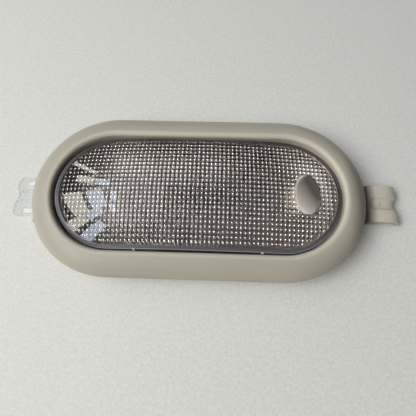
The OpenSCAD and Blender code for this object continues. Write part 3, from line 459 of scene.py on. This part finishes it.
# Painted marks on the beige plastic, a highlight and a shade: where each one is in metres, how
# strong along the way, and its tone
lipHighlight = {  # painted highlight: the bezel's lip is painted paler along its crest
    "inner": 0.032,
    "outer": 0.038,
    "stops": ((0.0, 0.3), (0.15, 0.8), (0.36, 0.8), (0.56, 0.1), (1.0, 0.0)),
    "tone": (212, 207, 189),
}
rootShade = {  # painted shade: brown darkening at the bezel's right end, where the latch leaves the bezel
    "from": 0.078,
    "to": 0.099,
    "stops": ((0.0, 0.0), (0.25, 0.3), (0.5, 0.74), (0.77, 0.8), (1.0, 0.0)),
    "tone": (84, 60, 46),
}


# Lays a painted highlight or painted shade over the plastic's own colour
def addMark(tree, mask, values):
    colour = tree.nodes["Principled BSDF"].inputs["Base Color"]
    plain = colour.links[0].from_socket
    stops = [(place, (share, share, share, 1)) for place, share in values["stops"]]
    strength = addRamp(tree, mask, stops)
    tree.links.new(addBlend(tree, strength, plain, values["tone"]), colour)


# Painted highlight along the lip's crest, by distance from the middle line
def paintLipHighlight(tree, values):
    addMark(tree, addSpineMask(tree, values), values)


# Painted shade, darker towards the bezel's right end along X
def paintRootShade(tree, values):
    along = addParts(tree, addNode(tree, "TexCoord").outputs["Object"])["X"]
    addMark(tree, addSpan(tree, along, values["from"], values["to"]), values)


# painted highlight on the bezel's lip
paintLipHighlight(finishes["lip"].node_tree, lipHighlight)
# painted shade at the right end, on the bezel and on the latch
for name in ("lip", "latch"):
    paintRootShade(finishes[name].node_tree, rootShade)

slots = {s["node"]: s["material_slot"] for s in record["subparts"]}
for name, obj in nodes.items():
    obj.data.materials.clear()
    obj.data.materials.append(finishes[slots[name]])
nodes["bezel"].data.materials[0] = finishes["lip"]
print("materials made")


# Scales a mesh from mm, hands it to its body and gives it its finishes
def finishPiece(bm, name, body, looks, replaced=()):
    bmesh.ops.scale(bm, vec=(mm, mm, mm), verts=bm.verts)
    mesh = bpy.data.meshes.new(name)
    bm.to_mesh(mesh)
    bm.free()
    obj = bpy.data.objects.new(name, mesh)
    bpy.context.scene.collection.objects.link(obj)
    for key in looks:
        mesh.materials.append(finishes[key])
    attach(obj, body)
    if replaced:
        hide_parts(*replaced)
    print(name, "made,", len(mesh.polygons), "faces")
    return obj


def countOpenEdges(bm):
    return sum(1 for e in bm.edges if not e.is_manifold)


# Lens, in mm: one closed clear piece, smooth outside, with a field of small prisms inside
lensShape = {
    "halfStraight": 45.0,
    "outer": 31.5,
    "inner": 29.9,
    "apex": 26.6,
    "alongRadius": 400.0,
    "acrossRadius": 82.0,
    "roof": 1.8,
    "shoulder": 2.5,
    "skirtBottom": 14.5,
    "borderEdge": 29.6,
    "fieldEdge": 28.1,
    "fieldTrim": 0.15,  # how far inside its edge the field still drops a face
    "fieldHalf": 45.7,
    "fieldShift": 1.2,  # the field sits a little towards the far side
    "fieldDepth": 0.9,  # how far the field's base lies under the roof's inside
    "cell": (2.25, 2.35),
    "cellSteps": 5,
    "pillow": 1.9,  # radius of each prism's rounded face
    "plainRing": 0.6,  # no prisms this near the dimple
    "dimpleAt": 57.6,
    "dimpleSize": (13.4, 21.6),
    "dimpleDeep": 1.4,
    "creaseAngle": 50,
    "roofSteps": 42,
    "endSteps": 96,
    "straightSteps": 96,
    "shoulderSteps": 8,
}
lensLooks = ("lens_plastic", "prism", "pad", "rim", "guide")
level = {"outside": 3, "foot": 2, "inside": 1, "field": 0}  # kept as heights until the sweep ends
noFace = 99.0  # mm, above every face


def fromSpine(x, y):
    return hypot(max(0, abs(x) - lensShape["halfStraight"]), y)


def crownHeight(x, y, inset=0.0):
    v = lensShape
    across = sqrt((v["acrossRadius"] - inset) ** 2 - y * y)
    along = sqrt((v["alongRadius"] - v["acrossRadius"] + across) ** 2 - x * x)
    return v["apex"] - v["alongRadius"] + along


# The dimple is part of a ring: its section along X is an arc that turns about the ring's middle
def dimpleHeight(x, y, z, grow=0.0):
    v = lensShape
    deep, length, width = v["dimpleDeep"], v["dimpleSize"][0] / 2, v["dimpleSize"][1] / 2
    arc = (length ** 2 + deep ** 2) / (2 * deep)
    across = v["acrossRadius"]
    left = deep - across + sqrt(across ** 2 - width ** 2)
    ring = (width ** 2 + left ** 2) / (2 * left)
    tilt = asin(v["dimpleAt"] / v["alongRadius"])
    face = crownHeight(v["dimpleAt"], 0)
    for _ in range(3):
        along = (x - v["dimpleAt"]) * cos(tilt) - (z - face) * sin(tilt)
        if abs(along) >= arc + grow:
            return noFace
        reach = (ring - arc + sqrt((arc + grow) ** 2 - along ** 2)) ** 2 - y * y
        up = ring - deep - sqrt(max(reach, 0))
        z = face + (up - (x - v["dimpleAt"]) * sin(tilt)) / cos(tilt)
    return z


def nearDimple(x, y, margin=0.0):
    length, width = (size / 2 + margin for size in lensShape["dimpleSize"])
    return ((x - lensShape["dimpleAt"]) / length) ** 2 + (y / width) ** 2 < 1


def shoulderHeight(r):
    v = lensShape
    start = v["outer"] - v["shoulder"]
    if r <= start:
        return noFace
    edge = crownHeight(0, start)
    return edge - v["shoulder"] + sqrt(max(v["shoulder"] ** 2 - (r - start) ** 2, 0))


def outsideHeight(x, y):
    z = min(crownHeight(x, y), shoulderHeight(fromSpine(x, y)))
    if nearDimple(x, y, margin=2):
        z = min(z, dimpleHeight(x, y, z))
    return z


def insideHeight(x, y):
    z = crownHeight(x, y, lensShape["roof"])
    if nearDimple(x, y, margin=6):
        z = min(z, dimpleHeight(x, y, z, lensShape["roof"]))
    return z


# Section from the middle line out to the skirt and back in, swept round the stadium
def sweepShell(bm):
    v = lensShape
    start = v["outer"] - v["shoulder"]
    outside, foot, inside, field = (level[key] for key in ("outside", "foot", "inside", "field"))
    chain = [(0, outside), (start, outside)]
    for i in range(1, v["shoulderSteps"] + 1):
        chain.append((start + v["shoulder"] * sin(pi / 2 * i / v["shoulderSteps"]), outside))
    chain += [(v["outer"], foot), (v["inner"], foot), (v["inner"], inside),
              (v["borderEdge"], inside), (v["borderEdge"], field)]
    points = [bm.verts.new((v["halfStraight"], r, height)) for r, height in chain]
    edges = [bm.edges.new(pair) for pair in zip(points, points[1:])]
    bmesh.ops.subdivide_edges(bm, edges=edges[:1], cuts=v["roofSteps"] - 1)
    last = list(bm.verts) + list(bm.edges)
    length = 2 * v["halfStraight"] / v["straightSteps"]
    for side in (1, -1):
        done = bmesh.ops.spin(bm, geom=last, cent=(side * v["halfStraight"], 0, 0), axis=(0, 0, 1),
                              angle=-pi, steps=v["endSteps"], use_merge=False, use_duplicate=False)
        done = bmesh.ops.spin(bm, geom=done["geom_last"], cent=(0, 0, 0), axis=(0, 0, 1), angle=0,
                              dvec=(-side * length, 0, 0), steps=v["straightSteps"],
                              use_merge=False, use_duplicate=False)
        last = done["geom_last"]
    bmesh.ops.remove_doubles(bm, verts=bm.verts, dist=0.002)


# How far the dimple lies under the crown
def dimpleDip(p):
    crown = crownHeight(p.x, p.y)
    return crown - dimpleHeight(p.x, p.y, crown)


# Crisp rim: the nearer end of each edge that crosses the dimple's outline moves onto it
def ontoDimpleEdge(bm, farDip=50):
    moved = {}
    for edge in bm.edges:
        a, b = edge.verts
        onTop = all(round(vert.co.z) == level["outside"] for vert in (a, b))
        if not onTop or not nearDimple(a.co.x, a.co.y, margin=3):
            continue
        dipA, dipB = dimpleDip(a.co), dimpleDip(b.co)
        if dipA * dipB >= 0 or abs(dipA) > farDip or abs(dipB) > farDip:
            continue
        share = dipA / (dipA - dipB)
        near, other, t = (a, b, share) if share < 0.5 else (b, a, 1 - share)
        if near not in moved or moved[near][0] > t:
            moved[near] = (t, near.co.lerp(other.co, t))
    for vert, (t, place) in moved.items():
        vert.co = place


# Place inside its own prism, measured from the prism's middle
def cellShift(x, y):
    cellX, cellY = lensShape["cell"]
    return x - cellX * round(x / cellX), y - cellY * round(y / cellY)


# Flat grid of prisms, trimmed to the field's outline
def makeField(bm):
    v = lensShape
    cellX, cellY = v["cell"]
    edge, half = v["fieldEdge"], v["fieldHalf"]
    countX = 2 * int((v["halfStraight"] + edge) / cellX) + 3
    countY = 2 * int(edge / cellY) + 3
    grid = bmesh.ops.create_grid(bm, x_segments=countX * v["cellSteps"],
                                 y_segments=countY * v["cellSteps"], size=0.5)
    verts = grid["verts"]
    bmesh.ops.scale(bm, vec=(countX * cellX, countY * cellY, 1), verts=verts)
    faces = {f for vert in verts for f in vert.link_faces}

    def spineFoot(p):
        return Vector((max(-half, min(half, p.x)), v["fieldShift"], 0))

    def offSpine(p):
        return (p - spineFoot(p)).length

    outer = [f for f in faces if offSpine(f.calc_center_median()) > edge - v["fieldTrim"]]
    bmesh.ops.delete(bm, geom=outer, context="FACES")
    verts = [vert for vert in verts if vert.is_valid]
    for vert in verts:
        if vert.is_boundary:
            foot = spineFoot(vert.co)
            vert.co = foot + (vert.co - foot).normalized() * edge
    rimEdges = [e for e in {e for vert in verts for e in vert.link_edges} if e.is_boundary]
    return verts, rimEdges


def onPlainRing(x, y):
    return nearDimple(x, y, lensShape["plainRing"])


def pillowDepth(x, y):
    v = lensShape
    u, w = cellShift(x, y)
    corner = (v["cell"][0] ** 2 + v["cell"][1] ** 2) / 4
    fade = 0 if onPlainRing(x, y) else 1
    return fade * (corner - u * u - w * w) / (2 * v["pillow"])


def betweenCells(edge, slack=0.01):
    ends = [cellShift(vert.co.x, vert.co.y) for vert in edge.verts]
    return any(all(abs(abs(p[n]) - lensShape["cell"][n] / 2) < slack for p in ends) for n in (0, 1))


# What the lens carries below its face, in mm: guide ribs, hinge pins, catches and push post
lensFittings = {
    "rib": {"atX": (-30.6, 34.0), "wide": 1.1, "reach": (30.7, 31.85), "low": 14.5,
            "high": {-1: 19.9, 1: 18.4}},  # on the near and the far side
    "pin": {"atX": -70.5, "atZ": 16.0, "radius": 1.2, "from": 15.9, "to": 22.79, "sides": 32},
    "catch": {"atY": 10.0, "wide": 5.0, "reach": (30.9, 33.2), "low": 15.1, "high": 16.4},
    "post": {"atX": 57.0, "radius": 3.0, "low": 17.3, "high": 18.9, "sides": 48},
    "rodRound": 0.2,
}


def addBlock(bm, size, middle):
    verts = bmesh.ops.create_cube(bm, size=1)["verts"]
    bmesh.ops.scale(bm, vec=size, verts=verts)
    bmesh.ops.translate(bm, vec=middle, verts=verts)
    return verts


def addRod(bm, rod, length, middle, along):
    turn = Vector((0, 0, 1)).rotation_difference(Vector(along)).to_matrix().to_4x4()
    cone = bmesh.ops.create_cone(bm, cap_ends=True, segments=rod["sides"],
                                 radius1=rod["radius"], radius2=rod["radius"], depth=length,
                                 matrix=Matrix.Translation(middle) @ turn)
    edges = {e for vert in cone["verts"] for e in vert.link_edges}
    rims = [e for e in edges if max(len(f.verts) for f in e.link_faces) > 4]
    bmesh.ops.bevel(bm, geom=rims, offset=lensFittings["rodRound"], affect="EDGES",
                    segments=2, profile=0.5, material=-1)


def addFittings(bm):
    rib, pin, catch, post = (lensFittings[k] for k in ("rib", "pin", "catch", "post"))
    for side in (-1, 1):
        high = rib["high"][side]
        size = (rib["wide"], rib["reach"][1] - rib["reach"][0], high - rib["low"])
        for atX in rib["atX"]:
            verts = addBlock(bm, size, (atX, side * sum(rib["reach"]) / 2, (high + rib["low"]) / 2))
            for f in {f for vert in verts for f in vert.link_faces}:
                f.material_index = lensLooks.index("guide")
        addRod(bm, pin, pin["to"] - pin["from"],
               (pin["atX"], side * (pin["from"] + pin["to"]) / 2, pin["atZ"]), (0, side, 0))
        verts = addBlock(bm, (1, catch["wide"], catch["high"] - catch["low"]),
                         (0, side * catch["atY"], (catch["low"] + catch["high"]) / 2))
        for vert in verts:
            reach = catch["reach"][1 if vert.co.x > 0 else 0]
            vert.co.x = lensShape["halfStraight"] + sqrt(reach ** 2 - vert.co.y ** 2)
    addRod(bm, post, post["high"] - post["low"],
           (post["atX"], 0, (post["low"] + post["high"]) / 2), (0, 0, 1))


def lensHeight(vert, inField):
    v = lensShape
    x, y = vert.co.xy
    held = round(vert.co.z)
    if held == level["outside"]:
        return outsideHeight(x, y)
    if held == level["foot"]:
        return v["skirtBottom"]
    if held == level["inside"]:
        return insideHeight(x, y)
    return insideHeight(x, y) - v["fieldDepth"] - (pillowDepth(x, y) if inField else 0)


def lensLook(face, inField):
    v = lensShape
    middle = face.calc_center_median()
    if fromSpine(middle.x, middle.y) > v["outer"] - v["shoulder"] and face.normal.z > -0.5:
        return "rim"
    if nearDimple(middle.x, middle.y) and (inField or face.normal.z > 0.5):
        return "pad"
    return "prism" if inField else "lens_plastic"


def makeLens():
    bm = bmesh.new()
    sweepShell(bm)
    ontoDimpleEdge(bm)
    shellRim = [e for e in bm.edges if e.is_boundary]
    fieldVerts, fieldRim = makeField(bm)
    fieldSet = set(fieldVerts)
    fieldEdges = {e for vert in fieldVerts for e in vert.link_edges}
    creases = [e for e in fieldEdges if betweenCells(e) and not onPlainRing(*e.verts[0].co.xy)]
    bmesh.ops.bridge_loops(bm, edges=shellRim + fieldRim)
    bmesh.ops.recalc_face_normals(bm, faces=bm.faces)
    for vert in bm.verts:
        vert.co.z = lensHeight(vert, vert in fieldSet)
    for f in bm.faces:
        f.smooth = True
        f.material_index = lensLooks.index(lensLook(f, all(vert in fieldSet for vert in f.verts)))
    for e in creases:
        e.smooth = False
    sharp = radians(lensShape["creaseAngle"])
    for e in bm.edges:
        if e not in fieldEdges and len(e.link_faces) == 2 and e.calc_face_angle(0) > sharp:
            e.smooth = False
    addFittings(bm)
    print("lens open edges", countOpenEdges(bm))
    return bm


finishPiece(makeLens(), "lensDome", "lens", lensLooks, ["lens", "lens_prisms"])


# Rolled face of the latch tab, in mm, with its thumb flute, laid over the bezel's own arch
latchRoll = {
    "halfWidth": 10.55,
    "edgeRound": 0.35,
    "edgeSteps": 3,
    "edgeAngle": 60,
    "wall": 1.1,
    "curves": (  # along X and up Z: nose, top, and fall to the free edge
        ((93.7, 4.9), (93.7, 7.6), (95.0, 8.85), (97.5, 9.0)),
        ((97.5, 9.0), (99.8, 9.1), (102.0, 9.05), (104.0, 8.9)),
        ((104.0, 8.9), (108.6, 8.6), (110.8, 6.9), (111.7, 4.9)),
        ((111.7, 4.9), (112.1, 4.0), (112.6, 3.0), (113.0, 2.2)),
    ),
    "curveSteps": 20,
    "acrossSteps": 76,
    "fluteStart": 95.0,
    "fluteHalf": 3.5,
    "fluteDeep": 1.75,
    "fluteCurve": 0.55,  # under 1 steepens the flute's sides
}


def makeLatchRoll():
    v = latchRoll
    line = []
    for curve in v["curves"]:
        points = interpolate_bezier(*(Vector((x, 0, z)) for x, z in curve), v["curveSteps"] + 1)
        line += points if not line else points[1:]
    bm = bmesh.new()
    last = len(line) - 1
    middle = v["fluteStart"] + v["fluteHalf"]
    bmesh.ops.create_grid(bm, x_segments=last, y_segments=v["acrossSteps"], size=0.5)
    for vert in bm.verts:
        n = round((vert.co.x + 0.5) * last)
        y = vert.co.y * 2 * v["halfWidth"]
        along = (line[min(n + 1, last)] - line[max(n - 1, 0)]).normalized()
        outward = Vector((-along.z, 0, along.x))
        off = abs(y) if line[n].x > middle else hypot(line[n].x - middle, y)
        share = max(0, 1 - (off / v["fluteHalf"]) ** 2)
        vert.co = line[n] + Vector((0, y, 0)) - outward * v["fluteDeep"] * share ** v["fluteCurve"]
    for f in bm.faces:
        f.smooth = True
    return bm


def finishLatchRoll():
    v = latchRoll
    obj = finishPiece(makeLatchRoll(), "latchRoll", "housing", ["latch"])
    wall = obj.modifiers.new("wall", "SOLIDIFY")
    wall.thickness = v["wall"] * mm
    wall.offset = -1
    edge = obj.modifiers.new("edge", "BEVEL")
    edge.width = v["edgeRound"] * mm
    edge.segments = v["edgeSteps"]
    edge.limit_method = "ANGLE"
    edge.angle_limit = radians(v["edgeAngle"])


finishLatchRoll()


# Switch spring, in mm: a coil as high as the pack's own spring, in its place
springCoil = {
    "middle": 57.0,
    "wire": 0.2,
    "coil": 1.8,
    "turns": 6,
    "turnSteps": 28,
    "wireSides": 10,
    "travel": 2.05,  # mm, the plunger's way down
}


def makeSpring(low, high):
    v = springCoil
    bm = bmesh.new()
    ring = bmesh.ops.create_circle(bm, cap_ends=True, segments=v["wireSides"], radius=v["wire"])
    bmesh.ops.rotate(bm, verts=ring["verts"], cent=(0, 0, 0),
                     matrix=Matrix.Rotation(pi / 2, 3, "X"))
    bmesh.ops.translate(bm, verts=ring["verts"], vec=(v["middle"] + v["coil"], 0, low + v["wire"]))
    steps = v["turns"] * v["turnSteps"]
    rise = (high - low - 2 * v["wire"]) / steps
    bmesh.ops.spin(bm, geom=list(bm.verts) + list(bm.edges) + list(bm.faces),
                   cent=(v["middle"], 0, 0), axis=(0, 0, 1), dvec=(0, 0, rise),
                   angle=2 * pi * v["turns"], steps=steps, use_merge=False, use_duplicate=False)
    bmesh.ops.recalc_face_normals(bm, faces=bm.faces)
    for f in bm.faces:
        f.smooth = len(f.verts) == 4
    print("spring open edges", countOpenEdges(bm))
    return bm


def finishSpring():
    low, high = (corner[2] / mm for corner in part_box("plunger_spring"))
    obj = finishPiece(makeSpring(low, high), "switchSpring", "housing",
                      ["spring_steel"], ["plunger_spring"])
    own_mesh(obj)


finishSpring()


# Pale table under the lamp
floor = {
    "half": 4.0,
    "height": -0.0002,  # just under the flat back, so the two don't coincide
    "finish": {
        "name": "paleTable", "dark": (228, 229, 224), "light": (241, 242, 237), "rough": (0.5, 0.6),
        "grain": 1100, "mottle": 650, "relief": 0.35, "depth": 0.0002},
}


def makeFloor(values):
    bm = bmesh.new()
    bmesh.ops.create_grid(bm, x_segments=1, y_segments=1, size=values["half"])
    bmesh.ops.translate(bm, verts=bm.verts, vec=(0, 0, values["height"]))
    mesh = bpy.data.meshes.new("floor")
    bm.to_mesh(mesh)
    bm.free()
    obj = bpy.data.objects.new("floor", mesh)
    bpy.context.scene.collection.objects.link(obj)
    obj.data.materials.append(dress(values["finish"]))
    print("floor laid")


def addAreaLight(name, wide, long, radiance, rgb):
    light = bpy.data.lights.new(name, "AREA")
    light.shape = "RECTANGLE"
    light.size, light.size_y = wide, long
    light.energy = pi * wide * long * radiance
    light.color = linear(rgb)[:3]
    obj = bpy.data.objects.new(name, light)
    bpy.context.scene.collection.objects.link(obj)
    return obj


# The window stands on the left; its bars lean as they do in the lens
window = {
    "wall": -0.9,
    "radiance": 7.0,
    "cool": (222, 234, 255),
    "warm": (255, 250, 236),
    "panes": {  # middle (y, z), width across, length along, lean in degrees, cool or warm
        "far": ((0.83, 0.80), 0.07, 0.46, -8, "warm"),
        "second": ((0.60, 0.96), 0.14, 0.24, 8, "warm"),
        "secondTop": ((0.64, 1.21), 0.14, 0.24, 8, "cool"),
        "third": ((0.12, 0.98), 0.42, 0.20, 24, "warm"),
        "thirdTop": ((0.24, 1.23), 0.42, 0.24, 24, "cool"),
        "fourth": ((-0.24, 0.97), 0.17, 0.32, 36, "warm"),
        "fourthTop": ((-0.07, 1.23), 0.17, 0.27, 36, "cool"),
        "near": ((-0.46, 1.14), 0.20, 0.50, 36, "cool"),
        "topLeft": ((0.36, 1.51), 0.26, 0.10, 12, "cool"),
        "topRight": ((0.04, 1.53), 0.22, 0.10, 20, "cool"),
    },
}


def makeWindow(values):
    for name, (middle, wide, long, lean, tint) in values["panes"].items():
        obj = addAreaLight("pane_" + name, wide, long, values["radiance"], values[tint])
        along = Vector((0, sin(radians(lean)), cos(radians(lean))))
        back = Vector((-1, 0, 0))
        across = along.cross(back)
        turn = Matrix((across, along, back)).transposed().to_4x4()
        obj.matrix_world = Matrix.Translation((values["wall"], *middle)) @ turn
    print("window made")


# Soft daylight from the room, kept out of the lens's reflection
softPanel = {
    "name": "overLeft",
    "place": (-0.64, -0.30, 0.92),
    "size": (0.7, 0.8),
    "radiance": 5.1,
    "rgb": (255, 252, 246),
}


def makePanel(values):
    obj = addAreaLight(values["name"], *values["size"], values["radiance"], values["rgb"])
    obj.visible_glossy = False
    place = Vector(values["place"])
    obj.location = place
    obj.rotation_euler = (-place).to_track_quat("-Z", "Y").to_euler()
    print("panel made")


# The room is darker on the right, away from the window; the camera sees a pale backdrop
room = {
    "rgb": (236, 236, 240),
    "fade": (-0.2, 0.5),  # sideways share of the direction, from left to right
    "strength": (0.14, 0.05),
    "backdrop": 0.75,
}


def makeRoom(values):
    world = bpy.data.worlds.new("room")
    world.use_nodes = True
    tree = world.node_tree
    back = tree.nodes["Background"]
    back.inputs["Color"].default_value = linear(values["rgb"])
    side = addParts(tree, addNode(tree, "TexCoord").outputs["Generated"])["X"]
    path = addNode(tree, "LightPath")
    seen = addNode(tree, "Mix")
    seen.inputs[3].default_value = values["backdrop"]
    tree.links.new(path.outputs["Is Camera Ray"], seen.inputs["Factor"])
    tree.links.new(addSpan(tree, side, *values["fade"], *values["strength"]), seen.inputs[2])
    tree.links.new(seen.outputs[0], back.inputs["Strength"])
    bpy.context.scene.world = world
    print("room made")


makeFloor(floor)
makeWindow(window)
makePanel(softPanel)
makeRoom(room)
bpy.context.scene.view_settings.view_transform = "Standard"
print("light set")
